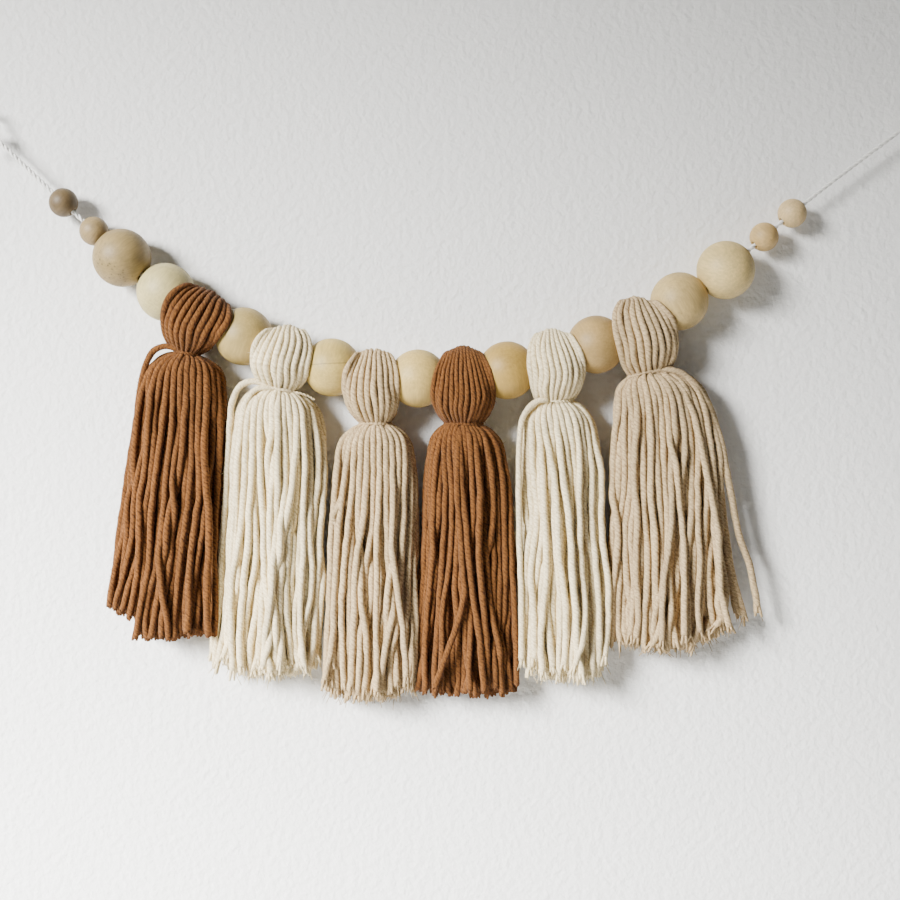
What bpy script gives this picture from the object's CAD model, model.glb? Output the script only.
# Tassel garland: wooden beads and looped yarn tassels on a twisted cotton cord, hung
# face on against a pale wall. Sizes in the settings are millimetres, in the frame of
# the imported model: X to the right, Z up, the wall behind at +Y.

import math
import random

import bpy
import numpy as np
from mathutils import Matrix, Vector, noise


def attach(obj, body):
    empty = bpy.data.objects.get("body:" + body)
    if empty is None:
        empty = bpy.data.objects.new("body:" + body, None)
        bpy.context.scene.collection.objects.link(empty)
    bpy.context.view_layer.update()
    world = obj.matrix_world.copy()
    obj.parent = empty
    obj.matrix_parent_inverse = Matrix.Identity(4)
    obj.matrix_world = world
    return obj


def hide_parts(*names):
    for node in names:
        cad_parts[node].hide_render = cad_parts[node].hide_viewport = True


mm = 0.001

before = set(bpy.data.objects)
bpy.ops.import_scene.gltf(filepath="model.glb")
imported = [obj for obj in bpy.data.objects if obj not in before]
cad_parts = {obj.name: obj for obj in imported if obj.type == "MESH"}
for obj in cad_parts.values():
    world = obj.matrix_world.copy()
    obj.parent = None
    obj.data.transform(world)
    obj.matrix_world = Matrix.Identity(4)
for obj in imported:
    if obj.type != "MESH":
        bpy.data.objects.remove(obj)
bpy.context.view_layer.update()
bpy.ops.object.select_all(action="DESELECT")
print("frame loaded:", len(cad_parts), "nodes")


# Camera, face on as in the photograph

cameraPlan = {
    "middle": (168.0, -118.2),      # X and Z at the middle of the picture
    "beadPlane": -2.5,
    "distance": 500.0,              # in front of the beads' middles
    "viewWidth": 310.5,             # what the picture takes in at the beads
}


def addCamera():
    x, z = cameraPlan["middle"]
    y = cameraPlan["beadPlane"] - cameraPlan["distance"]
    bpy.ops.object.camera_add(location=(x * mm, y * mm, z * mm), rotation=(math.pi / 2, 0.0, 0.0))
    camera = bpy.context.object
    camera.name = "camera"
    lens = camera.data
    lens.lens = lens.sensor_width * cameraPlan["distance"] / cameraPlan["viewWidth"]
    bpy.context.scene.camera = camera


addCamera()
print("camera placed")


# Helpers for materials

def linearColour(hexValue):
    # sRGB hex to the linear values that shaders take
    channels = [int(hexValue[k:k + 2], 16) / 255 for k in (1, 3, 5)]
    linear = [c / 12.92 if c <= 0.04045 else ((c + 0.055) / 1.055) ** 2.4 for c in channels]
    return (*linear, 1.0)


def addNode(tree, kind, inputs, **settings):
    # one node with its settings; an input is a value, or a socket to link from
    node = tree.nodes.new(kind)
    for name, value in settings.items():
        setattr(node, name, value)
    for socket, value in inputs.items():
        if isinstance(value, bpy.types.NodeSocket):
            tree.links.new(value, node.inputs[socket])
        else:
            node.inputs[socket].default_value = value
    return node


def startMaterial(name):
    material = bpy.data.materials.new(name)
    material.use_nodes = True
    return material, material.node_tree, material.node_tree.nodes["Principled BSDF"]


def setShader(shader, values):
    for socket, value in values.items():
        shader.inputs[socket].default_value = value


# Spun wool-blend yarn, four-ply: matte and soft, a little lighter on the plies than
# where they meet, with flecks of loose fibre along them.

yarnFinish = {
    "rust": {"crown": "#784d26", "groove": "#371f0e", "twist": 0.05, "sheen": 0.04},
    "white": {"crown": "#f3e4bd", "groove": "#b4a076", "twist": 0.03, "sheen": 0.06},
    "beige": {"crown": "#cdb48a", "groove": "#80694c", "twist": 0.035, "sheen": 0.05},
}
yarnTexture = {
    "plies": 4,
    "plyPitch": 6.2,                # one full turn of the plies
    "plyWaver": 0.9,                # how unevenly they run, in plies
    "fleckLength": 1.8,             # of one fleck along a ply
    "fleckScale": 1.9,              # how many flecks to a ply and to that length
    "grooveFrom": (0.34, 0.62),     # heights at which a ply is all groove, and all crown
    "mottleSize": 9.0,
    "mottle": (0.30, 0.85),         # its share of the tone, and what it is added to
    "plyHeight": 0.16,
}


def makeYarn(kind):
    # the map runs once round a strand in U, and in mm along it in V
    finish = yarnFinish[kind]
    plies, pitch = yarnTexture["plies"], yarnTexture["plyPitch"]
    allGroove, allCrown = yarnTexture["grooveFrom"]
    mottleShare, mottleBase = yarnTexture["mottle"]
    material, tree, shader = startMaterial("spunYarn" + kind.capitalize())
    layout = addNode(tree, "ShaderNodeUVMap", {}, uv_map="yarnMap")
    across = addNode(tree, "ShaderNodeVectorMath",
                     {0: layout.outputs[0], 1: (plies, plies / pitch, 0.0)}, operation="DOT_PRODUCT")
    along = addNode(tree, "ShaderNodeVectorMath",
                    {0: layout.outputs[0], 1: (0.0, 1 / yarnTexture["fleckLength"], 0.0)},
                    operation="DOT_PRODUCT")
    spot = addNode(tree, "ShaderNodeCombineXYZ", {0: across.outputs["Value"],
                                                  1: along.outputs["Value"]})
    flecks = addNode(tree, "ShaderNodeTexNoise",
                     {"Vector": spot.outputs[0], "Scale": yarnTexture["fleckScale"],
                      "Detail": 4.0, "Roughness": 0.75})
    # the plies run unevenly round the strand
    uneven = addNode(tree, "ShaderNodeMath", {0: flecks.outputs[0], 1: yarnTexture["plyWaver"],
                                              2: across.outputs["Value"]}, operation="MULTIPLY_ADD")
    turn = addNode(tree, "ShaderNodeMath", {0: uneven.outputs[0], 1: 2 * math.pi},
                   operation="MULTIPLY")
    ridge = addNode(tree, "ShaderNodeMath", {0: turn.outputs[0]}, operation="SINE")
    place = addNode(tree, "ShaderNodeTexCoord", {})
    mottle = addNode(tree, "ShaderNodeTexNoise",
                     {"Vector": place.outputs["Object"], "Detail": 2.0,
                      "Scale": 1000 / yarnTexture["mottleSize"]})
    tone = addNode(tree, "ShaderNodeAttribute", {}, attribute_name="tone")
    height = addNode(tree, "ShaderNodeMath", {0: ridge.outputs[0], 1: finish["twist"],
                                              2: flecks.outputs[0]}, operation="MULTIPLY_ADD")
    shade = addNode(tree, "ShaderNodeMapRange", {0: height.outputs[0], 1: allGroove, 2: allCrown,
                                                 3: 1.0, 4: 0.0})
    colour = addNode(tree, "ShaderNodeMix", {0: shade.outputs[0], 6: linearColour(finish["crown"]),
                                             7: linearColour(finish["groove"])}, data_type="RGBA")
    patch = addNode(tree, "ShaderNodeMath", {0: mottle.outputs[0], 1: mottleShare, 2: mottleBase},
                    operation="MULTIPLY_ADD")
    value = addNode(tree, "ShaderNodeMath", {0: patch.outputs[0], 1: tone.outputs["Fac"]},
                    operation="MULTIPLY")
    painted = addNode(tree, "ShaderNodeVectorMath", {0: colour.outputs[2],
                                                     "Scale": value.outputs[0]},
                      operation="SCALE")
    tree.links.new(painted.outputs[0], shader.inputs["Base Color"])
    fuzz = addNode(tree, "ShaderNodeBump", {"Height": height.outputs[0], "Strength": 0.9,
                                            "Distance": yarnTexture["plyHeight"] * mm})
    tree.links.new(fuzz.outputs[0], shader.inputs["Normal"])
    setShader(shader, {"Roughness": 0.95, "Specular IOR Level": 0.1, "Sheen Weight": finish["sheen"],
                       "Sheen Roughness": 0.6, "IOR": 1.5})
    return material


# Two-ply cotton twine: matte white, with faintly grey fibres along the plies.

twineFinish = {
    "light": "#fbfaf6",
    "dark": "#cfccc4",
    "fibres": (9.0, 0.9),           # round a ply, and to each mm along it
    "fibreHeight": 0.1,
}


def makeTwine():
    material, tree, shader = startMaterial("cottonTwine")
    layout = addNode(tree, "ShaderNodeUVMap", {}, uv_map="yarnMap")
    stretched = addNode(tree, "ShaderNodeVectorMath",
                        {0: layout.outputs[0], 1: (*twineFinish["fibres"], 1.0)},
                        operation="MULTIPLY")
    fibres = addNode(tree, "ShaderNodeTexNoise", {"Vector": stretched.outputs[0], "Scale": 1.0,
                                                  "Detail": 2.0})
    colour = addNode(tree, "ShaderNodeMix",
                     {0: fibres.outputs[0], 6: linearColour(twineFinish["light"]),
                      7: linearColour(twineFinish["dark"])}, data_type="RGBA")
    tree.links.new(colour.outputs[2], shader.inputs["Base Color"])
    fuzz = addNode(tree, "ShaderNodeBump", {"Height": fibres.outputs[0], "Strength": 0.6,
                                            "Distance": twineFinish["fibreHeight"] * mm})
    tree.links.new(fuzz.outputs[0], shader.inputs["Normal"])
    setShader(shader, {"Roughness": 0.9, "Specular IOR Level": 0.2, "Sheen Weight": 0.2, "IOR": 1.5})
    return material


# Bare turned hardwood, sanded: pale and nearly matte, with soft growth bands, short
# pores along the grain and a few pits.

woodTexture = {
    "bandWidth": 3.4,
    "bandWaver": 5.0,               # how far the growth bands bend
    "bandTone": 0.95,               # the value of a band's dark side, to 1 at its light one
    "poreLength": 7.0,
    "poreAcross": 0.5,
    "poreTone": (0.80, 1.10),       # darkest and lightest
    "cloudSize": 9.0,
    "cloudTone": (0.84, 1.10),
    "pitSize": 1.5,
    "pitEdge": (0.10, 0.30),        # how far from a pit's middle its dark ends, in pits
    "pitDepth": 0.5,
    "crackEdge": (0.08, 0.3),       # the same beside a crack
    "crackDepth": 0.35,
    "grainHeight": 0.12,
}


def makeWood():
    material, tree, shader = startMaterial("turnedBeech")
    bend, fine, coarse = (woodTexture[name] for name in ("bandWaver", "poreAcross", "poreLength"))
    poreDark, poreLight = woodTexture["poreTone"]
    cloudDark, cloudLight = woodTexture["cloudTone"]
    pitInner, pitOuter = woodTexture["pitEdge"]
    crackInner, crackOuter = woodTexture["crackEdge"]
    grain = addNode(tree, "ShaderNodeAttribute", {}, attribute_name="grain")
    tint = addNode(tree, "ShaderNodeAttribute", {}, attribute_name="woodTint")
    waver = addNode(tree, "ShaderNodeTexNoise", {"Vector": grain.outputs["Vector"], "Scale": 0.12,
                                                 "Detail": 2.0})
    bent = addNode(tree, "ShaderNodeVectorMath", {0: waver.outputs[1], 1: (bend, bend, 1.0),
                                                  2: grain.outputs["Vector"]},
                   operation="MULTIPLY_ADD")
    bands = addNode(tree, "ShaderNodeTexWave",
                    {"Vector": bent.outputs[0], "Scale": 1 / woodTexture["bandWidth"],
                     "Distortion": 3.0, "Detail": 3.0, "Detail Scale": 0.8},
                    wave_type="RINGS", rings_direction="Z", wave_profile="SIN")
    along = addNode(tree, "ShaderNodeVectorMath", {0: grain.outputs["Vector"],
                                                   1: (1 / fine, 1 / fine, 1 / coarse)},
                    operation="MULTIPLY")
    pores = addNode(tree, "ShaderNodeTexNoise", {"Vector": along.outputs[0], "Scale": 0.55,
                                                 "Detail": 3.0, "Roughness": 0.7})
    pits = addNode(tree, "ShaderNodeTexVoronoi", {"Vector": grain.outputs["Vector"],
                                                  "Scale": 1 / woodTexture["pitSize"]})
    pitMask = addNode(tree, "ShaderNodeMapRange", {0: pits.outputs[0], 1: pitInner, 2: pitOuter,
                                                   3: 1.0, 4: 0.0})
    pitTone = addNode(tree, "ShaderNodeAttribute", {}, attribute_name="pitted")
    pitted = addNode(tree, "ShaderNodeMath", {0: pitMask.outputs[0], 1: pitTone.outputs["Fac"]},
                     operation="MULTIPLY")
    banded = addNode(tree, "ShaderNodeMapRange", {0: bands.outputs[1], 1: 0.0, 2: 1.0,
                                                  3: 1.0, 4: woodTexture["bandTone"]})
    dusted = addNode(tree, "ShaderNodeMapRange", {0: pores.outputs[0], 1: 0.3, 2: 0.7,
                                                  3: poreDark, 4: poreLight})
    cloud = addNode(tree, "ShaderNodeTexNoise", {"Vector": grain.outputs["Vector"], "Detail": 2.0,
                                                 "Scale": 1 / woodTexture["cloudSize"]})
    clouded = addNode(tree, "ShaderNodeMapRange", {0: cloud.outputs[0], 1: 0.3, 2: 0.7,
                                                   3: cloudDark, 4: cloudLight})
    both = addNode(tree, "ShaderNodeMath", {0: banded.outputs[0], 1: dusted.outputs[0]},
                   operation="MULTIPLY")
    shaded = addNode(tree, "ShaderNodeMath", {0: both.outputs[0], 1: clouded.outputs[0]},
                     operation="MULTIPLY")
    crack = addNode(tree, "ShaderNodeAttribute", {}, attribute_name="fromCrack")
    beside = addNode(tree, "ShaderNodeMath", {0: crack.outputs["Fac"]}, operation="ABSOLUTE")
    cracked = addNode(tree, "ShaderNodeMapRange", {0: beside.outputs[0], 1: crackInner,
                                                   2: crackOuter, 3: woodTexture["crackDepth"],
                                                   4: 0.0})
    marks = addNode(tree, "ShaderNodeMath", {0: pitted.outputs[0], 1: woodTexture["pitDepth"],
                                             2: cracked.outputs[0]}, operation="MULTIPLY_ADD")
    value = addNode(tree, "ShaderNodeMath", {0: shaded.outputs[0], 1: marks.outputs[0]},
                    operation="SUBTRACT")
    painted = addNode(tree, "ShaderNodeVectorMath", {0: tint.outputs["Vector"],
                                                     "Scale": value.outputs[0]},
                      operation="SCALE")
    tree.links.new(painted.outputs[0], shader.inputs["Base Color"])
    relief = addNode(tree, "ShaderNodeBump", {"Height": value.outputs[0], "Strength": 0.35,
                                              "Distance": woodTexture["grainHeight"] * mm})
    tree.links.new(relief.outputs[0], shader.inputs["Normal"])
    setShader(shader, {"Roughness": 0.52, "Specular IOR Level": 0.35, "IOR": 1.5})
    return material


yarnMaterials = {kind: makeYarn(kind) for kind in yarnFinish}
twineMaterial = makeTwine()
woodMaterial = makeWood()
print("materials made")


# Lines and the tubes laid along them

def unit(vector):
    return vector / np.linalg.norm(vector)


def unitRows(rows):
    return rows / np.linalg.norm(rows, axis=1)[:, None]


def travelOf(line):
    steps = np.linalg.norm(np.diff(line[:, :3], axis=0), axis=1)
    return np.concatenate([[0.0], np.cumsum(steps)])


def pointsAt(line, stops):
    # the points so far along the line; further columns, such as radius, go along
    travelled = travelOf(line)
    return np.stack([np.interp(stops, travelled, column) for column in line.T], axis=1)


def evenLine(points, step):
    # the same line with points a step apart
    points = np.asarray(points, float)
    length = travelOf(points)[-1]
    return pointsAt(points, np.linspace(0.0, length, max(3, int(round(length / step)) + 1)))


def softened(line, rounds):
    # corners rounded off, with the ends kept
    line = np.array(line, float)
    for _ in range(rounds):
        line[1:-1] = (line[:-2] + 2 * line[1:-1] + line[2:]) / 4
    return line


def lineFrames(line):
    # two directions across the line at each point, carried along it without twisting
    heading = unitRows(np.gradient(line[:, :3], axis=0))
    across = np.empty_like(heading)
    across[0] = unit(np.cross(heading[0], (0.3, 0.9, 0.1)))
    for k in range(1, len(heading)):
        across[k] = unit(across[k - 1] - heading[k] * np.dot(across[k - 1], heading[k]))
    return across, np.cross(heading, across)


def tubePart(line, radius, sides, tone=1.0):
    # rings round a line; the radius is one number, or one for each point
    across, other = lineFrames(line)
    angle = 2 * math.pi * np.arange(sides) / sides
    reach = np.broadcast_to(radius, len(line))[:, None]
    rings = (line[:, None, :3] + (reach * np.cos(angle))[..., None] * across[:, None]
             + (reach * np.sin(angle))[..., None] * other[:, None])
    return {"rings": rings, "travelled": travelOf(line), "tone": tone}


def twistedPair(line, plan, shift=0.0):
    # two plies that twist round each other along a line
    across, other = lineFrames(line)
    parts = []
    for k in range(2):
        angle = 2 * math.pi * travelOf(line) / plan["plyPitch"] + math.pi * k
        ply = line[:, :3] + plan["plyOffset"] * (np.cos(angle)[:, None] * across
                                                 + np.sin(angle)[:, None] * other)
        parts.append(tubePart(ply + shift, plan["plyRadius"], 6, plan["tone"]))
    return parts


def setAttribute(mesh, name, values):
    # one value, or one vector, for each corner of the mesh
    kind, field = ("FLOAT_VECTOR", "vector") if values.ndim > 1 else ("FLOAT", "value")
    mesh.attributes.new(name, kind, "POINT").data.foreach_set(field, values.ravel())


def buildRings(name, parts, material, nodes, fibres=None, fibreTone=1.1):
    # one mesh from many closed tubes, with a map along each and its tone
    points, faces, spots, tones = [], [], [], []
    base = 0
    for part in parts:
        rings = part["rings"]
        count, sides = rings.shape[:2]
        row, side = np.meshgrid(np.arange(count - 1), np.arange(sides), indexing="ij")
        row, side = row.ravel(), side.ravel()
        after = (side + 1) % sides
        quads = base + np.stack([row * sides + side, row * sides + after,
                                 (row + 1) * sides + after, (row + 1) * sides + side], axis=1)
        faces += quads.tolist()
        faces.append([base + k for k in reversed(range(sides))])
        faces.append([base + (count - 1) * sides + k for k in range(sides)])
        along = part["travelled"] + part.get("start", 0.0)
        wrap = np.stack([side, side + 1, side + 1, side], axis=1) / sides
        run = np.stack([along[row], along[row], along[row + 1], along[row + 1]], axis=1)
        spots.append(np.stack([wrap, run], axis=2).reshape(-1, 2))
        spots.append(np.zeros((2 * sides, 2)))
        points.append(rings.reshape(-1, 3))
        tones.append(np.full(count * sides, part["tone"]))
        base += count * sides
    if fibres is not None:
        # each spike has a three-cornered foot and a tip
        corner = base + 4 * np.arange(len(fibres))[:, None]
        faces += np.concatenate([corner + np.array(face) for face in
                                 ((0, 2, 1), (0, 1, 3), (1, 2, 3), (2, 0, 3))]).tolist()
        points.append(fibres.reshape(-1, 3))
        spots.append(np.zeros((12 * len(fibres), 2)))
        tones.append(np.full(4 * len(fibres), fibreTone))
    mesh = bpy.data.meshes.new(name)
    mesh.from_pydata((np.concatenate(points) * mm).tolist(), [], faces)
    mesh.uv_layers.new(name="yarnMap").data.foreach_set("uv", np.concatenate(spots).ravel())
    setAttribute(mesh, "tone", np.concatenate(tones))
    mesh.shade_smooth()
    mesh.materials.append(material)
    piece = bpy.data.objects.new(name, mesh)
    bpy.context.scene.collection.objects.link(piece)
    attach(piece, "root")
    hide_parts(*nodes)
    return piece


# The cord's route: the knots and the beads' middles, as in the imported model

threading = {
    "knot_left": (8.9, 0.0, -8.6),
    "bead_small_1": (33.8, 0.7, -32.3),
    "bead_small_2": (44.4, 0.7, -42.2),
    "bead_large_1": (54.8, -2.5, -51.9),
    "bead_large_2": (70.0, -2.5, -63.8),
    "bead_large_3": (96.9, -2.5, -79.0),
    "bead_large_4": (127.3, -2.5, -89.7),
    "bead_large_5": (157.0, -2.5, -93.5),
    "bead_large_6": (187.7, -2.5, -90.7),
    "bead_large_7": (218.4, -2.5, -81.8),
    "bead_large_8": (247.1, -2.5, -66.9),
    "bead_large_9": (263.1, -2.5, -56.1),
    "bead_small_3": (276.9, 0.0, -44.3),
    "bead_small_4": (286.8, 0.7, -36.0),
    "knot_right": (328.1, 0.0, -4.4),
}
cordPlan = {
    "diameter": 1.45,
    "plyOffset": 0.38,              # from the cord's line to each ply's
    "plyRadius": 0.45,
    "plyPitch": 4.4,                # one full turn of the two plies
    "tone": 1.0,
    "step": 0.40,
    "stepsPerBead": 24,
}


def routeSlopes(stations):
    # the way that the cord runs at each station, from the stations beside it
    steps = np.diff(stations, axis=0)
    lengths = np.linalg.norm(steps, axis=1)[:, None]
    ways = steps / lengths
    mixed = ways[:-1] * lengths[1:] + ways[1:] * lengths[:-1]
    return unitRows(np.concatenate([ways[:1], mixed, ways[-1:]]))


def routeLine(stations, slopes):
    # a cubic curve from each station to the next
    line = []
    t = (np.arange(cordPlan["stepsPerBead"]) / cordPlan["stepsPerBead"])[:, None]
    for k in range(len(stations) - 1):
        a, b = stations[k], stations[k + 1]
        span = np.linalg.norm(b - a)
        line.append(a * (2 * t**3 - 3 * t**2 + 1) + b * (3 * t**2 - 2 * t**3)
                    + slopes[k] * span * (t**3 - 2 * t**2 + t)
                    + slopes[k + 1] * span * (t**3 - t**2))
    line.append(stations[-1:])
    return np.concatenate(line)


def addTwine(name, node, line):
    parts = twistedPair(evenLine(line, cordPlan["step"]), cordPlan)
    return buildRings(name, parts, twineMaterial, [node])


# Hanging loops: the twine turns back on itself and is knotted round both legs

loopPlan = {
    "radius": 4.2,
    "arcSteps": 24,
    "legOffset": 0.8,
    "knotSink": 1.2,
    "knotRadius": 1.35,             # of the turns round the legs, to their middle
    "knotTurns": 2.6,
    "knotSteps": 12,                # to a turn
    "knotLength": 3.4,
    "knotFoot": (1.4, 0.3),         # where the legs start, before the knot and to its side
    "tailLength": 6.0,
    "tailOutward": 0.6,
    "tailForward": 0.6,
}


def loopLine(knot, bearing):
    outward = unit(bearing - knot)
    side = np.cross(outward, (0.0, 1.0, 0.0))
    radius, steps = loopPlan["radius"], loopPlan["knotSteps"]
    before, beside = loopPlan["knotFoot"]
    middle = bearing - outward * (radius - cordPlan["diameter"] / 2)
    start = math.pi - math.acos(radius / np.linalg.norm(middle - knot))
    points = [knot - outward * before + side * beside,
              knot + outward * loopPlan["knotSink"] + side * loopPlan["legOffset"]]
    for k in range(loopPlan["arcSteps"] + 1):
        angle = start - 2 * start * k / loopPlan["arcSteps"]
        points.append(middle + radius * (outward * math.cos(angle) + side * math.sin(angle)))
    points.append(knot + outward * loopPlan["knotSink"] - side * loopPlan["legOffset"])
    turns = loopPlan["knotTurns"]
    for k in range(int(steps * turns)):
        angle = 2 * math.pi * k / steps
        rise = loopPlan["knotLength"] * (0.5 - k / (steps * turns))
        points.append(knot + outward * rise + loopPlan["knotRadius"]
                      * (-side * math.cos(angle) + np.array((0.0, 1.0, 0.0)) * math.sin(angle)))
    down = unit(np.array((0.0, 0.0, -1.0)) + outward * loopPlan["tailOutward"])
    points.append(knot + down * loopPlan["tailLength"] / 2)
    points.append(knot + down * loopPlan["tailLength"]
                  + np.array((0.0, -loopPlan["tailForward"], 0.0)))
    return softened(evenLine(points, cordPlan["step"]), 2)


stations = np.array(list(threading.values()))
slopes = routeSlopes(stations)
cordRoute = routeLine(stations, slopes)
knotLeft, knotRight = cordRoute[0], cordRoute[-1]
rightBearing = knotRight + slopes[-1] * np.linalg.norm(knotLeft)
cordPiece = addTwine("cordTwine", "cord", cordRoute)
loopLeft = addTwine("loopLeftTwine", "loop_left", loopLine(knotLeft, np.zeros(3)))
loopRight = addTwine("loopRightTwine", "loop_right", loopLine(knotRight, rightBearing))
print("cord and loops laid:", round(travelOf(cordRoute)[-1]), "mm")


# Beads: a sphere cut flat where the bore runs out, bored through, with eased rims

beadPlan = {
    "large": {"diameter": 20.0, "length": 19.2, "bore": 4.2, "segments": 56, "rings": 36},
    "small": {"diameter": 10.0, "length": 9.2, "bore": 2.7, "segments": 40, "rings": 24},
    "rimWidth": 0.3,
    "rimSteps": 3,
    "rimAngle": 25,                 # edges sharper than this are eased, in degrees
    "smoothAngle": 50,
    "grainPlace": ((9.0, 16.0), (-4.0, 4.0), (-30.0, 30.0)),    # where in the log it was cut
    "pitSpread": (0.3, 12.0),       # the pits fade from the lower left, as seen from the front
    "tints": {
        "bead_small_1": "#645338", "bead_small_2": "#8e7953", "bead_large_1": "#8f7a4f",
        "bead_large_2": "#baab75", "bead_large_3": "#a68f56", "bead_large_4": "#bea45d",
        "bead_large_5": "#c6a962", "bead_large_6": "#aa8a44", "bead_large_7": "#a58853",
        "bead_large_8": "#c1a66d", "bead_large_9": "#d4ba7c", "bead_small_3": "#ccab71",
        "bead_small_4": "#d5b884",
    },
    "pitted": {"bead_large_1": 1.0, "bead_small_1": 0.6, "bead_large_8": 0.35},
    "cracked": {"bead_large_4": (0.8, 0.05)},       # how far above the middle, and its slope
}


def shapeBead(size):
    plan = beadPlan[size]
    radius, half = plan["diameter"] / 2, plan["length"] / 2
    rimRadius = math.sqrt(radius**2 - half**2)
    bpy.ops.mesh.primitive_uv_sphere_add(segments=plan["segments"], ring_count=plan["rings"],
                                         radius=radius * mm)
    bead = bpy.context.object
    bpy.ops.object.mode_set(mode="EDIT")
    bpy.ops.mesh.select_mode(type="FACE")
    for end in (1, -1):
        bpy.ops.mesh.select_all(action="SELECT")
        bpy.ops.mesh.bisect(plane_co=(0.0, 0.0, end * half * mm), plane_no=(0.0, 0.0, end),
                            clear_outer=True, use_fill=True)
        bpy.ops.mesh.inset(thickness=(rimRadius - plan["bore"] / 2) * mm)
        bpy.ops.mesh.delete(type="FACE")
    bpy.ops.mesh.select_mode(type="EDGE")
    bpy.ops.mesh.select_all(action="DESELECT")
    bpy.ops.mesh.select_non_manifold()
    bpy.ops.mesh.bridge_edge_loops()
    bpy.ops.mesh.select_all(action="SELECT")
    bpy.ops.mesh.normals_make_consistent(inside=False)
    bpy.ops.object.mode_set(mode="OBJECT")
    rim = bead.modifiers.new("rim", "BEVEL")
    rim.width = beadPlan["rimWidth"] * mm
    rim.segments = beadPlan["rimSteps"]
    rim.angle_limit = math.radians(beadPlan["rimAngle"])
    bpy.ops.object.modifier_apply(modifier="rim")
    bpy.ops.object.shade_smooth_by_angle(angle=math.radians(beadPlan["smoothAngle"]))
    return bead


def cornersOf(mesh):
    corners = np.zeros(len(mesh.vertices) * 3)
    mesh.vertices.foreach_get("co", corners)
    return corners.reshape(-1, 3) / mm


def addBead(node, middle, slope, chance):
    bpy.ops.object.select_all(action="DESELECT")
    bead = shapeBead("large" if "large" in node else "small")
    bead.name = node.replace("bead", "turned")
    mesh = bead.data
    local = cornersOf(mesh)
    offset = np.array([chance.uniform(*reach) for reach in beadPlan["grainPlace"]])
    spin = chance.uniform(0.0, 2 * math.pi)
    turned = np.stack([local[:, 0] * math.cos(spin) - local[:, 1] * math.sin(spin),
                       local[:, 2],
                       local[:, 0] * math.sin(spin) + local[:, 1] * math.cos(spin)], axis=1)
    setAttribute(mesh, "grain", turned + offset)
    colour = linearColour(beadPlan["tints"][node])[:3]
    setAttribute(mesh, "woodTint", np.tile(colour, (len(local), 1)))
    bead.rotation_mode = "QUATERNION"
    bead.rotation_quaternion = Vector(slope).to_track_quat("Z", "Y")
    bead.location = Vector(middle) * mm
    bpy.ops.object.transform_apply(location=True, rotation=True, scale=True)
    placed = cornersOf(mesh) - np.array(middle)
    pitMiddle, pitFade = beadPlan["pitSpread"]
    leaning = np.clip(pitMiddle - (placed[:, 0] + placed[:, 2]) / pitFade, 0.0, 1.0)
    setAttribute(mesh, "pitted", leaning * beadPlan["pitted"].get(node, 0.0))
    farOff = 50.0                   # from a crack: at the back, or where the bead has none
    above, rise = beadPlan["cracked"].get(node, (farOff, 0.0))
    setAttribute(mesh, "fromCrack", placed[:, 2] - above - rise * placed[:, 0]
                 + np.where(placed[:, 1] > 0, farOff, 0.0))
    mesh.materials.append(woodMaterial)
    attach(bead, "root")
    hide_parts(node)


beadChance = random.Random(5)
for (node, middle), slope in zip(threading.items(), slopes):
    if node.startswith("bead"):
        addBead(node, middle, slope, beadChance)
print("beads turned")


# Tassels. The places run from the top down, each (shift, up, half width): shift and up
# are measured from where the cord runs through the head. The top, the widest place and
# the tie may tilt, the right side down, in degrees.

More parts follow.
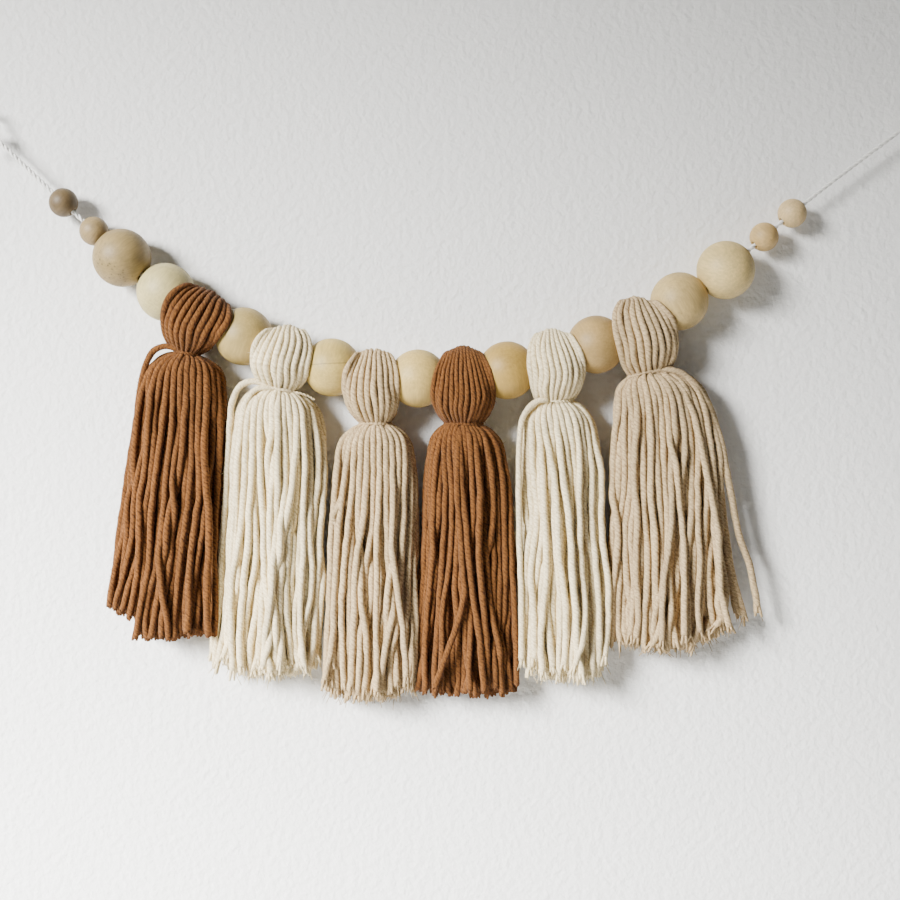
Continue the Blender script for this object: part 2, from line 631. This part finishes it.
tasselPlan = {
    "depths": {                     # before the cord's line, where it is widest, behind it
        "top": (2.0, 2.0, -2.0), "wide": (12.8, 4.8, 9.0), "neck": (5.2, 0.2, 5.0),
        "shoulder": (6.8, -1.1, 9.0), "body": (6.8, -1.1, 9.0), "tips": (6.8, -1.1, 9.0),
    },
    "neckBand": 0.7,                # height of the crease that the tie sits in
    "wall": 9.6,                    # how far behind the cord's line the strands may reach
    "head": {
        # its levels from the tie up: parts of the way down from the widest place to the tie,
        # then degrees from the top
        "down": (1.0, 0.95, 0.86, 0.75, 0.62, 0.48, 0.33, 0.17, 0.0),
        "over": (74, 59, 44, 30),
        "play": (0.45, 0.3),        # sideways, in spacings, and what is left of it on the crest
        "fill": 0.52,               # of a strand's share of the ring that its radius takes
        "radius": (0.72, 1.25),
    },
    "crestDrop": 2.0,               # how much lower the outermost strands cross the cord
    "crestPlay": 0.5,
    "crestRadius": 1.05,
    "skirt": {
        "neck": (0.0, 0.06, 0.16, 0.32, 0.52, 0.75),    # parts of the way down each stretch
        "shoulder": (0.0, 0.33, 0.66),
        "body": 25,                 # levels, evenly spaced
    },
    "thinned": (0.62, 0.8, 0.95, 1.08, 1.16),   # by the tie: radii of the topmost levels
    "rowInsets": (1.75, 3.5, 5.0),  # of the inner rows of strands, in strand radii
    # how far out of the neck's heart are the strands that start there, level by level
    "outerRoots": (0.55, 0.65, 0.78, 0.88, 0.95, 1.0),
    "innerRoots": (0.2, 0.3, 0.45, 0.6, 0.8, 0.92),
    "strandPitch": 1.88,            # along a row, in strand radii
    "step": 1.25,
    "sides": 7,
    "beadClear": 0.1,
    "betweenBeads": 2.0,            # how far to the tassel's side, at least, a strand that is
                                    # in a bead is taken to be when it is moved out of it
    "frontFrom": -3.2,              # strands before this lie over the beads
    "lean": 1.1,                    # how far a strand strays straight to one side
    "wander": 5.0,                  # and in slow bends
    "waviness": 1.8,                # and in quick ones
    "bends": (2.1, 6.0),            # slow and quick bends down a strand
    "sunk": (-0.6, 1.5),            # how far a strand lies below its neighbours
    "kinks": 0.13,                  # how uneven the spun yarn itself is
    "clumps": 9,
    "clumpEdge": 0.9,               # one at each side, and the others inside, in half widths
    "clumpInside": 0.7,
    "clumpPull": 0.12,
    "sweeps": 4,                    # strands that cross over their neighbours in front
    "sweepReach": (3.0, 7.0),
    "sweepForward": 0.35,           # how far they stand out for it, of that reach
    "apart": 0.90,                  # how close two strands may come, in strand widths
    "pushes": 26,                   # rounds of pushing them apart, each by this share
    "pushShare": 0.35,
    "cutShort": (1.3, 4.0),         # a normal draw above the first, one in ten, shortens a
                                    # strand by so much for each unit above
    "thickness": (0.88, 1.04),
    "tone": (0.88, 1.08),
    "tips": {"plies": 4, "frayedPlies": 6, "sunk": 1.2, "out": 0.48, "thick": 0.47,
             "taper": (1.0, 1.0, 0.92, 0.62), "length": (0.35, 1.1), "spread": (0.05, 0.28),
             "wispThick": 0.14, "wispLonger": 1.5, "wispWider": 2.4},
    "fibres": {"count": 4200, "width": 0.08, "length": (0.6, 2.0), "rooted": 0.2,
               "outward": (0.25, 1.0), "along": 0.8, "askew": 0.25},
    "core": {"inset": 1.6, "sides": 24, "tone": 0.45, "beadReach": 10.3, "pitch": 3.0, "sunk": 0.6,
             "levels": (("shoulder", 0.0), ("neck", 0.5), ("neck", 0.1), ("wide", 1.0),
                        ("wide", 0.85), ("wide", 0.65), ("wide", 0.4), ("wide", 0.0),
                        ("top", 0.7), ("top", 0.45), ("top", 0.25))},
}
# rise is how much higher the left and right tips end, scatter how uneven they are, and
# fray how long the parted plies are; loops counts the strands over the cord, crest is
# half the width they cross it in, and radius is a strand's; seed and drift choose the
# random draws
tassels = {
    "tassel_1": {
        "yarn": "rust", "beads": ("bead_large_2", "bead_large_3"), "seed": 3, "drift": 33,
        "loops": 10, "radius": 1.26, "crest": 4.6, "tilts": (30.0, 13.0, 9.0),
        "rise": (2.0, 0.0), "scatter": 1.6, "fray": 1.0,
        "shortSide": (-0.52, 6.5),  # left of this part of the half width it is so much shorter
        "top": (2.6, 8.8, 0.0), "wide": (-2.4, -2.9, 11.9), "neck": (-6.2, -13.6, 4.5),
        "shoulder": (-7.4, -21.4, 14.0), "body": (-8.0, -32.0, 15.9),
        "tips": (-14.6, -110.0, 17.8),
        "strays": [((-5.4, -3.6, -13.3), (-8.6, -4.0, -12.2), (-13.0, -3.8, -10.8),
                    (-17.6, -3.0, -12.6), (-20.3, -2.0, -18.0), (-22.3, -1.4, -25.5),
                    (-23.6, -1.0, -38.0), (-24.6, -0.6, -60.0), (-27.4, -0.4, -84.0),
                    (-29.8, 0.0, -103.0))],
    },
    "tassel_2": {
        "yarn": "white", "beads": ("bead_large_3", "bead_large_4"), "seed": 4, "drift": 34,
        "loops": 10, "radius": 1.22, "crest": 4.5, "tilts": (0.0, 3.0, 10.0),
        "rise": (3.0, 3.0), "scatter": 2.6, "fray": 3.2,
        "top": (0.0, 9.9, 0.0), "wide": (-1.6, -3.5, 10.9), "neck": (-3.1, -12.9, 6.2),
        "shoulder": (-4.4, -21.0, 14.2), "body": (-3.3, -32.0, 16.6),
        "tips": (-7.1, -108.0, 18.1),
        "strays": [((-4.0, -3.4, -12.4), (-7.5, -4.0, -11.0), (-12.0, -3.6, -9.9),
                    (-16.5, -2.6, -11.6), (-19.2, -1.6, -17.0), (-20.3, -1.0, -30.0),
                    (-21.4, -0.6, -50.0), (-23.6, -0.4, -80.0), (-25.2, 0.0, -107.0)),
                   ((-3.6, -3.6, -12.8), (-7.0, -4.6, -12.2), (-11.2, -4.6, -13.0),
                    (-14.2, -4.0, -18.0), (-15.8, -3.6, -27.0), (-17.6, -3.4, -50.0),
                    (-19.8, -3.0, -80.0), (-20.0, -3.0, -104.0))],
    },
    "tassel_3": {
        "yarn": "beige", "beads": ("bead_large_4", "bead_large_5"), "seed": 5, "drift": 25,
        "loops": 10, "radius": 1.22, "crest": 4.6, "tilts": (0.0, 0.0, 0.0),
        "rise": (3.0, 3.0), "scatter": 2.6, "fray": 3.4,
        "egg": 0.2,                 # how far the head's top narrows like an egg
        "top": (-0.3, 9.2, 0.0), "wide": (-1.2, -5.2, 10.5), "neck": (0.0, -17.6, 5.6),
        "shoulder": (0.2, -25.6, 13.0), "body": (0.2, -36.0, 14.8),
        "tips": (-2.1, -108.5, 15.8),
        "strays": [((-9.0, -2.0, -38.0), (-11.8, -4.2, -45.0), (-13.0, -5.2, -47.8),
                    (-14.8, -5.6, -48.4), (-15.2, -5.4, -49.8), (-14.2, -5.2, -50.8),
                    (-13.0, -5.0, -49.9), (-12.4, -4.4, -52.6), (-12.8, -4.2, -58.0),
                    (-13.6, -4.0, -80.0), (-14.4, -4.0, -100.0))],
    },
    "tassel_4": {
        "yarn": "rust", "beads": ("bead_large_5", "bead_large_6"), "seed": 6, "drift": 36,
        "loops": 14, "radius": 1.12, "crest": 4.2, "tilts": (0.0, 0.0, 1.0),
        "rise": (2.0, 2.0), "scatter": 1.8, "fray": 1.0, "egg": 0.12,
        "top": (0.1, 10.5, 0.0), "wide": (0.1, -7.0, 11.6), "neck": (0.3, -17.2, 6.8),
        "shoulder": (1.3, -25.2, 13.0), "body": (1.7, -36.0, 15.0),
        "tips": (1.9, -109.5, 17.6),
        "strays": [((-0.6, -3.0, -17.8), (-1.4, -5.0, -19.6), (-1.8, -6.8, -25.0),
                    (-1.9, -7.8, -40.0), (-0.6, -8.4, -60.0),
                    (0.8, -8.8, -74.0), (-1.4, -8.9, -84.0), (-5.8, -8.4, -96.0),
                    (-9.6, -7.6, -107.0))],
    },
    "tassel_5": {
        "yarn": "white", "beads": ("bead_large_6", "bead_large_7"), "seed": 7, "drift": 37,
        "loops": 11, "radius": 1.20, "crest": 4.3, "tilts": (0.0, 0.0, -2.0),
        "rise": (3.0, 3.0), "scatter": 2.4, "fray": 3.2,
        "top": (-0.2, 10.6, 0.0), "wide": (1.4, -5.0, 10.2), "neck": (1.0, -15.3, 6.5),
        "shoulder": (2.1, -23.2, 13.2), "body": (4.0, -34.0, 13.8),
        "tips": (4.5, -107.0, 15.0),
        "strays": [((-1.5, -4.6, -15.0), (-4.6, -5.4, -14.6), (-8.4, -5.2, -17.2),
                    (-10.8, -4.4, -22.6), (-11.6, -3.8, -34.0), (-11.4, -3.6, -60.0),
                    (-10.6, -3.6, -84.0), (-10.4, -3.6, -104.0))],
    },
    "tassel_6": {
        "yarn": "beige", "beads": ("bead_large_7", "bead_large_8"), "seed": 8, "drift": 28,
        "loops": 10, "radius": 1.24, "crest": 4.0, "tilts": (4.0, -2.0, -12.0),
        "rise": (1.0, 8.0), "scatter": 2.4, "fray": 3.4,
        "top": (-0.6, 9.7, 0.0), "wide": (1.8, -4.2, 11.5), "neck": (4.3, -17.0, 7.9),
        "shoulder": (8.6, -25.4, 15.4), "body": (10.1, -36.0, 18.4),
        "tips": (11.4, -109.0, 21.2),
        "strays": [((6.0, -3.6, -16.4), (10.5, -4.2, -16.2), (15.4, -3.8, -17.8),
                    (20.0, -3.0, -22.0), (24.0, -2.2, -28.6), (28.2, -1.6, -40.0),
                    (31.4, -1.0, -56.0), (34.6, -0.6, -73.0), (38.8, -0.2, -84.0),
                    (41.2, -0.2, -98.0)),
                   ((6.0, -2.6, -16.8), (11.4, -3.0, -17.2), (17.6, -2.2, -21.6),
                    (23.0, -1.0, -31.0), (27.4, 0.0, -46.0), (29.6, 0.6, -66.0),
                    (32.4, 0.8, -86.0), (36.8, 1.0, -101.0)),
                   ((8.0, -4.6, -18.0), (14.0, -5.6, -22.0), (18.6, -6.0, -32.0),
                    (22.4, -6.4, -50.0), (26.6, -6.6, -72.0), (27.2, -6.8, -92.0),
                    (30.4, -6.6, -104.0))],
    },
}
placeOrder = ("top", "wide", "neck", "shoulder", "body", "tips")


def sectionAt(tassel, place, part):
    # the outline part of the way from a place to the next one down
    below = placeOrder[placeOrder.index(place) + 1]
    turn = math.pi / 2 * part
    grow = part
    if place == "top":
        egg = tassel.get("egg", 0.0)
        grow = (1 - egg) * math.sqrt(max(0.0, 1.0 - (1.0 - part) ** 2)) + egg * part
    elif place == "wide":
        grow = 1.0 - max(0.0, math.cos(turn)) ** 0.75
    elif place == "neck":
        grow = math.sin(turn) ** 0.62
    upper, lower = np.array(tassel[place]), np.array(tassel[below])
    upper[1] -= tasselPlan["neckBand"] / 2 if place == "neck" else 0.0
    lower[1] += tasselPlan["neckBand"] / 2 if below == "neck" else 0.0
    shift, up, _ = upper + (lower - upper) * part
    near, far = np.array(tasselPlan["depths"][place]), np.array(tasselPlan["depths"][below])
    front, widest, back = near + (far - near) * grow
    tilts = (*tassel["tilts"], 0.0, 0.0, 0.0)
    tilt = tilts[placeOrder.index(place)] * (1 - part) + tilts[placeOrder.index(below)] * part
    return {"x": shift, "z": up, "half": upper[2] + (lower[2] - upper[2]) * grow,
            "front": front, "widest": widest, "back": back,
            "tilt": math.tan(math.radians(tilt))}


def outlinePoints(section, angles, inset, crest=0.0):
    # points round the section, inset from its outline; crest keeps the top from closing
    middle = -section["widest"]
    depth = np.where(np.sin(angles) > 0, section["back"] - middle, section["front"] + middle)
    half = math.hypot(max(section["half"] - inset, 0.0), crest)
    x = half * np.cos(angles)
    y = middle + np.maximum(depth - inset, 0.0) * np.sin(angles)
    return np.stack([section["x"] + x, y, section["z"] - section["tilt"] * x], axis=1)


def clearOfBeads(points, beads, reach):
    # out of the two beads beside the tassel: in front of them, or in between behind
    points = np.array(points)
    for bead in beads:
        room = reach**2 - (points[:, 2] - bead[2]) ** 2
        away = points[:, :2] - bead[:2]
        inside = room > (away**2).sum(axis=1)
        front = inside & (points[:, 1] < tasselPlan["frontFrom"])
        level = np.sqrt(np.maximum(room - away[:, 0] ** 2, 0.0))
        points[front, 1] = np.minimum(points[front, 1], bead[1] - level[front])
        side = -math.copysign(1.0, bead[0])
        away[:, 0] = side * np.maximum(side * away[:, 0], tasselPlan["betweenBeads"])
        moved = bead[:2] + unitRows(away) * np.sqrt(np.maximum(room, 0.0))[:, None]
        behind = inside & ~front
        points[behind, :2] = moved[behind]
    return points


def respaced(ring, closed=True):
    # the same points evenly spaced along the ring, or along an open row of them
    row = np.concatenate([ring, ring[:1]]) if closed else ring
    share = np.arange(len(ring)) / (len(ring) if closed else len(ring) - 1)
    return pointsAt(row, travelOf(row)[-1] * share)


def headLevels(tassel, beads):
    # rings of the outer strands' middles and their radius, from the neck up to the crest
    radius, loops, plan = tassel["radius"], tassel["loops"], tasselPlan["head"]
    reach = beadPlan["large"]["diameter"] / 2 + radius + tasselPlan["beadClear"]
    angles = math.pi * (np.arange(2 * loops) + 0.5) / loops
    sections = [sectionAt(tassel, "wide", part) for part in plan["down"]]
    sections += [sectionAt(tassel, "top", 1.0 - math.cos(math.radians(turn)))
                 for turn in plan["over"]]
    levels = []
    for k, section in enumerate(sections):
        over = max(0, k + 1 - len(plan["down"]))
        ring = outlinePoints(section, angles, radius, tassel["crest"] if over else 0.0)
        ring[:, 2] -= radius * over / (len(plan["over"]) + 1)
        for _ in range(2):
            ring = clearOfBeads(ring, beads, reach)
            front = respaced(ring[loops:], False)
            back = respaced(ring[:loops], False)
            ring = np.concatenate([back, front])
        ring = clearOfBeads(ring, beads, reach)
        spread = travelOf(ring[loops:])[-1] / (loops - 1)
        play = [noise.noise(Vector((tassel["seed"] + 3.7 * j, k * 0.2, 0.0)))
                for j in range(2 * loops)]
        sway, crestSway = plan["play"]
        ring[:, 0] += sway * spread * np.array(play) * (crestSway if over else 1.0)
        size = np.clip(spread * plan["fill"], *plan["radius"])
        levels.append(np.hstack([ring, np.full((2 * loops, 1), size)]))
    return softened(levels, 2)


def crestPoint(tassel, across, chance):
    # where a strand lies highest, over the cord
    top = tassel["top"]
    x = across * tassel["crest"] + chance.uniform(-tasselPlan["crestPlay"], tasselPlan["crestPlay"])
    z = top[1] - tassel["radius"] - tasselPlan["crestDrop"] * across**2
    z -= x * math.tan(math.radians(tassel["tilts"][0]))
    return np.array([top[0] + x, -tasselPlan["depths"]["top"][0], z, tasselPlan["crestRadius"]])


def hangingLevels(tassel):
    # the strands' middles from the neck to the tips: outer row first, then the inner rows
    radius = tassel["radius"]
    fullest = sectionAt(tassel, "body", 0.3)
    fine = 2 * math.pi * np.arange(360) / 360
    rows = []
    for inset in (0.0, *tasselPlan["rowInsets"]):
        ring = outlinePoints(fullest, fine, radius * (1 + inset))
        travelled = travelOf(np.concatenate([ring, ring[:1]]))
        count = int(travelled[-1] / (tasselPlan["strandPitch"] * radius))
        stops = travelled[-1] * (np.arange(count) + 0.5) / count
        rows.append((radius * (1 + inset), np.interp(stops, travelled[:-1], fine)))
    plan = tasselPlan["skirt"]
    stretches = (("neck", plan["neck"]), ("shoulder", plan["shoulder"]),
                 ("body", np.linspace(0.0, 1.0, plan["body"])))
    sections = [sectionAt(tassel, place, part) for place, parts in stretches for part in parts]
    levels = []
    for section in sections:
        level = [outlinePoints(section, angles, inset) for inset, angles in rows]
        level[0] = respaced(level[0])
        levels.append(np.concatenate(level))
    hanging = np.stack(levels, axis=1)
    # those that no strand of the head runs on to start deeper in the neck
    outer = len(rows[0][1])
    joined = ((np.arange(2 * tassel["loops"]) + 0.5) * outer / (2 * tassel["loops"])).astype(int)
    root = sectionAt(tassel, "neck", 0.0)
    heart = np.array([root["x"], (root["back"] - root["front"]) / 2, root["z"] + 0.6])
    for i in set(range(len(hanging))) - set(joined.tolist()):
        for k, share in enumerate(tasselPlan["outerRoots" if i < outer else "innerRoots"]):
            hanging[i, k] = heart + (hanging[i, k] - heart) * share
    return hanging, joined, outer


def wanderStrands(tassel, hanging, outer, chance):
    # each strand's own drift, then pushed apart where they would cross, then its length
    count, levels = hanging.shape[:2]
    tips = tassel["tips"]
    first = 4                       # the neck holds the levels above this one
    slow, quick = tasselPlan["bends"]
    edge, inside = tasselPlan["clumpEdge"], tasselPlan["clumpInside"]
    clumps = [tips[0] + tips[2] * share for share in (-edge, edge)]
    clumps += [tips[0] + tips[2] * chance.uniform(-inside, inside)
               for _ in range(tasselPlan["clumps"])]
    swept = chance.sample(range(outer // 2 + 3, outer - 3), tasselPlan["sweeps"])
    for i in range(count):
        key = chance.uniform(0.0, 400.0)
        lean = chance.gauss(0.0, tasselPlan["lean"])
        sunk = chance.uniform(*tasselPlan["sunk"])
        goal = min(clumps, key=lambda x: abs(x - hanging[i, -1, 0]))
        sweep = 0.0
        if i in swept:
            sweep = chance.choice((-1, 1)) * chance.uniform(*tasselPlan["sweepReach"])
        for k in range(first, levels):
            t = (k - first) / (levels - 1 - first)
            drift = noise.noise_vector(Vector((key, t * slow, 0.0))) * tasselPlan["wander"] * t**0.7
            wave = noise.noise_vector(Vector((key, t * quick, 7.0))) * tasselPlan["waviness"]
            early = min(1.0, 6.0 * t)
            pull = (goal - hanging[i, k, 0]) * tasselPlan["clumpPull"] * t**2
            hanging[i, k, 0] += drift.x + wave.x * early + (lean + sweep) * t**1.2 + pull
            hanging[i, k, 1] += (drift.y * 0.5 + wave.y * early
                                 + (sunk if hanging[i, k, 1] < 0 else -sunk) * early
                                 - abs(sweep) * tasselPlan["sweepForward"] * min(1.0, 3.0 * t))
    apart, share = 2 * tassel["radius"] * tasselPlan["apart"], tasselPlan["pushShare"]
    limit = tasselPlan["wall"] - tassel["radius"]
    for _ in range(tasselPlan["pushes"]):
        flat = hanging[:, first - 1:, :2]
        gaps = flat[:, None] - flat[None]
        spans = np.sqrt((gaps**2).sum(axis=3)) + 1e-6
        push = np.clip(apart - spans, 0.0, None)
        push[np.arange(count), np.arange(count)] = 0.0
        flat = flat + (gaps / spans[..., None] * push[..., None]).sum(axis=1) * share
        flat[:, 1:-1] = flat[:, 1:-1] * 0.8 + (flat[:, :-2] + flat[:, 2:]) * 0.10
        flat[..., 1] = np.minimum(flat[..., 1], limit)
        hanging[:, first:, :2] = flat[:, 1:]
    shortSide, shorter = tassel.get("shortSide", (-9.0, 0.0))
    rare, cut = tasselPlan["cutShort"]
    for i in range(count):
        across = (hanging[i, -1, 0] - tips[0]) / tips[2]
        rise = tassel["rise"][1 if across > 0 else 0] * across**2
        rise += shorter if across < shortSide else 0.0
        rise += chance.uniform(-1.0, 1.0) * tassel["scatter"]
        rise += max(0.0, chance.gauss(0.0, 1.0) - rare) * cut
        hanging[i, first:, 2] += rise * np.linspace(0.0, 1.0, levels - first)
    return hanging


def strandLines(tassel, beads, chance):
    # every length of yarn as points with a radius: over the cord, or out of the neck
    loops, radius = tassel["loops"], tassel["radius"]
    head = headLevels(tassel, beads)
    hanging, joined, outer = hangingLevels(tassel)
    hanging = wanderStrands(tassel, hanging, outer, chance)
    full = np.full((hanging.shape[1], 1), radius)
    full[:len(tasselPlan["thinned"]), 0] = tasselPlan["thinned"]
    lines = []
    for k in range(loops):
        backSide, frontSide = k, 2 * loops - 1 - k
        across = math.cos(math.pi * (k + 0.5) / loops)
        upFront = np.array([level[frontSide] for level in head])
        upBack = np.array([level[backSide] for level in head])
        lines.append(np.concatenate([
            np.hstack([hanging[joined[frontSide]], full])[::-1], upFront,
            crestPoint(tassel, across, chance)[None], upBack[::-1],
            np.hstack([hanging[joined[backSide]], full])]))
    for i in set(range(len(hanging))) - set(joined.tolist()):
        lines.append(np.hstack([hanging[i], full]))
    for stray in tassel["strays"]:
        path = softened(evenLine(stray, 1.0), 3)
        lines.append(np.hstack([path, np.full((len(path), 1), radius * 0.95)]))
    return lines


def frayedEnd(line, tassel, radius, tone, phase, chance):
    # the plies part at a cut end, each its own thin length, with a few finer wisps
    plan = tasselPlan["tips"]
    parts = []
    end = line[-1, :3]
    heading = unit(line[-1, :3] - line[-4, :3])
    side = unit(np.cross(heading, (0.3, 0.9, 0.1)))
    other = np.cross(heading, side)
    steps = np.linspace(0.0, 1.0, 4)[:, None]
    for ply in range(plan["plies"] if tassel["fray"] < 2 else plan["frayedPlies"]):
        angle = phase + math.pi / 2 * ply + chance.uniform(-0.4, 0.4)
        out = side * math.cos(angle) + other * math.sin(angle)
        wisp = ply >= plan["plies"]
        length = tassel["fray"] * chance.uniform(*plan["length"])
        length *= plan["wispLonger"] if wisp else 1.0
        spread = chance.uniform(*plan["spread"]) * (plan["wispWider"] if wisp else 1.0)
        path = (end - heading * plan["sunk"] + out * radius * plan["out"]
                + heading * (length + plan["sunk"]) * steps + out * length * spread * steps**1.6)
        thick = radius * plan["wispThick" if wisp else "thick"] * np.array(plan["taper"])
        path[:, 1] = np.minimum(path[:, 1], tasselPlan["wall"] - 0.4)
        parts.append(tubePart(path, thick, 3 if wisp else 5, tone))
    return parts


def looseFibres(parts, dice):
    # short hairs that stand off the strands, each a thin spike
    plan = tasselPlan["fibres"]
    lengths = np.array([len(part["rings"]) for part in parts], float)
    owners = dice.choice(len(parts), plan["count"], p=lengths / lengths.sum())
    spikes = []
    for owner in owners:
        rings = parts[owner]["rings"]
        k = dice.integers(1, len(rings) - 1)
        side = dice.integers(rings.shape[1])
        middle = rings[k].mean(axis=0)
        out = rings[k, side] - middle
        out = out / (np.linalg.norm(out) + 1e-9)
        along = rings[k + 1].mean(axis=0) - middle
        along = along / (np.linalg.norm(along) + 1e-9)
        way = unit(out * dice.uniform(*plan["outward"]) + along * dice.normal(0.0, plan["along"])
                   + dice.normal(0, plan["askew"], 3))
        across = np.cross(way, along)
        across = across / (np.linalg.norm(across) + 1e-9) * plan["width"]
        other = np.cross(way, across)
        foot = rings[k, side] - way * plan["rooted"]
        spikes.append((foot + across, foot - across * 0.5 + other * 0.87,
                       foot - across * 0.5 - other * 0.87,
                       foot + way * dice.uniform(*plan["length"])))
    return np.array(spikes)


def corePart(tassel, beads):
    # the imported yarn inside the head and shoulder, seen only as depth between strands
    plan = tasselPlan["core"]
    angles = 2 * math.pi * np.arange(plan["sides"]) / plan["sides"]
    inset = tassel["radius"] * plan["inset"]
    rings = []
    for place, part in plan["levels"]:
        ring = outlinePoints(sectionAt(tassel, place, part), angles, inset)
        if place == "top":
            ring[:, 2] -= inset * plan["sunk"]
        rings.append(clearOfBeads(ring, beads, plan["beadReach"]))
    return {"rings": np.array(rings), "travelled": np.arange(len(rings)) * plan["pitch"],
            "tone": plan["tone"]}


def addTassel(node, tassel):
    chance = random.Random(tassel["seed"])
    noise.seed_set(tassel["drift"])     # or the strands would stray differently in every run
    left, right = (np.array(threading[bead]) for bead in tassel["beads"])
    crossing = (left + right) / 2
    beads = [left - crossing, right - crossing]
    dice = np.random.default_rng(tassel["seed"])
    strands, ends = [], []
    for line in strandLines(tassel, beads, chance):
        line = softened(evenLine(line, tasselPlan["step"]), 1)
        uneven = softened(dice.normal(0.0, 1.0, line.shape), 2)
        line += uneven * tasselPlan["kinks"] * (1, 1, 0.3, 0.7)
        thickness = chance.uniform(*tasselPlan["thickness"])
        tone = chance.uniform(*tasselPlan["tone"])
        phase = chance.uniform(0.0, 2 * math.pi)
        part = tubePart(line, line[:, 3] * thickness, tasselPlan["sides"], tone)
        part["start"] = phase
        strands.append(part)
        ends += frayedEnd(line, tassel, line[-1, 3] * thickness, tone, phase, chance)
        # a strand over the cord has a second cut end, far below the neck
        if line[0, 2] < tassel["neck"][1] - 40:
            ends += frayedEnd(line[::-1], tassel, line[0, 3] * thickness, tone, phase, chance)
    fibres = looseFibres(strands, dice) + crossing
    parts = [corePart(tassel, beads)] + strands + ends
    for part in parts:
        part["rings"] = part["rings"] + crossing
    return buildRings(node.replace("tassel", "yarnTassel"), parts, yarnMaterials[tassel["yarn"]],
                      [node], fibres), crossing


# Ties: a thinner two-ply thread of the same yarn, wound tight round the neck

tiePlan = {
    "plyRadius": 0.27,
    "plyOffset": 0.22,
    "plyPitch": 2.6,
    "tone": 1.08,
    "turns": 1.6,
    "turnSteps": 40,
    "climb": 0.35,                  # from one turn to the next
    "sunk": 0.15,                   # of the thread's middle inside the neck's outline
    "step": 0.5,
    "looseEnds": {
        "tassel_2": ((3.6, -3.4, -14.2), (5.6, -2.4, -14.8), (7.4, -1.4, -15.4),
                     (9.2, -0.6, -16.6)),
    },
}


def addTie(node, tassel, crossing):
    neck = sectionAt(tassel, "wide", 1.0)
    neck["z"] = tassel["neck"][1]
    turns, turnSteps = tiePlan["turns"], tiePlan["turnSteps"]
    count = int(turnSteps * turns)
    angles = 2 * math.pi * np.arange(count) / turnSteps - 0.5 * math.pi
    line = outlinePoints(neck, angles, tiePlan["sunk"])
    line[:, 2] += tiePlan["climb"] * (np.arange(count) / turnSteps - turns / 2)
    if node in tiePlan["looseEnds"]:
        line = np.concatenate([line, np.array(tiePlan["looseEnds"][node])])
    line = softened(evenLine(line, tiePlan["step"]), 2)
    parts = twistedPair(line, tiePlan, crossing)
    tieNode = node.replace("tassel", "tie")
    buildRings(tieNode.replace("tie", "yarnTie"), parts, yarnMaterials[tassel["yarn"]], [tieNode])


for node, tassel in tassels.items():
    piece, crossing = addTassel(node, tassel)
    addTie(node, tassel, crossing)
    print("made", node, "with", len(piece.data.polygons), "faces")


# The wall that it hangs before, the floor below, and the light

stagePlan = {
    "wall": 7.8,
    "floor": -600.0,
    "size": 3000.0,
    "rollerMark": 2.6,              # size of the marks that a paint roller leaves
    "rollerDepth": 0.8,
    "wallColour": "#f0efeb",
    "floorColour": "#eeedea",
    "key": {"place": (-700.0, -800.0, 90.0), "aim": (-20.0, 0.0, -420.0), "size": 640.0,
            "spread": 46.0, "power": 12.4},
    "skyStrength": 0.15,
    "skyColour": "#f4f5f7",
}


def makePlaster(name, hexValue, oneSided):
    # painted plaster: matte, faintly uneven
    material, tree, shader = startMaterial(name)
    place = addNode(tree, "ShaderNodeTexCoord", {})
    cloud = addNode(tree, "ShaderNodeTexNoise", {"Vector": place.outputs["Object"], "Detail": 5.0,
                                                 "Scale": 1000 / stagePlan["rollerMark"]})
    relief = addNode(tree, "ShaderNodeBump", {"Height": cloud.outputs[0], "Strength": 0.9,
                                              "Distance": stagePlan["rollerDepth"] * mm})
    tree.links.new(relief.outputs[0], shader.inputs["Normal"])
    setShader(shader, {"Base Color": linearColour(hexValue), "Roughness": 0.9,
                       "Specular IOR Level": 0.1})
    if oneSided:
        facing = addNode(tree, "ShaderNodeNewGeometry", {})
        clear = addNode(tree, "ShaderNodeBsdfTransparent", {})
        mixed = addNode(tree, "ShaderNodeMixShader", {0: facing.outputs["Backfacing"],
                                                      1: shader.outputs[0], 2: clear.outputs[0]})
        tree.links.new(mixed.outputs[0], tree.nodes["Material Output"].inputs["Surface"])
    return material


def addStagePlane(name, location, rotation, material):
    bpy.ops.object.select_all(action="DESELECT")
    bpy.ops.mesh.primitive_plane_add(size=stagePlan["size"] * mm, location=location,
                                     rotation=rotation)
    plane = bpy.context.object
    plane.name = name
    bpy.ops.object.transform_apply(location=True, rotation=True, scale=True)
    plane.data.materials.append(material)


def addLight(name, plan):
    place = Vector(plan["place"]) * mm
    aim = Vector(plan["aim"]) * mm
    bpy.ops.object.light_add(type="AREA", location=place)
    light = bpy.context.object
    light.name = name
    light.rotation_mode = "QUATERNION"
    light.rotation_quaternion = (aim - place).to_track_quat("-Z", "Y")
    light.data.shape = "DISK"
    light.data.size = plan["size"] * mm
    light.data.spread = math.radians(plan["spread"])
    light.data.energy = plan["power"]


middleX = cameraPlan["middle"][0] * mm
half = stagePlan["size"] / 2 * mm
addStagePlane("wall", (middleX, stagePlan["wall"] * mm, half + stagePlan["floor"] * mm),
              (math.pi / 2, 0.0, 0.0), makePlaster("paintedPlaster", stagePlan["wallColour"], True))
addStagePlane("floor", (middleX, stagePlan["wall"] * mm - half, stagePlan["floor"] * mm),
              (0.0, 0.0, 0.0), makePlaster("paintedFloor", stagePlan["floorColour"], False))
addLight("keyLight", stagePlan["key"])
world = bpy.data.worlds.new("softRoom")
world.use_nodes = True
setShader(world.node_tree.nodes["Background"], {"Color": linearColour(stagePlan["skyColour"]),
                                                "Strength": stagePlan["skyStrength"]})
bpy.context.scene.world = world
print("stage and lights set")
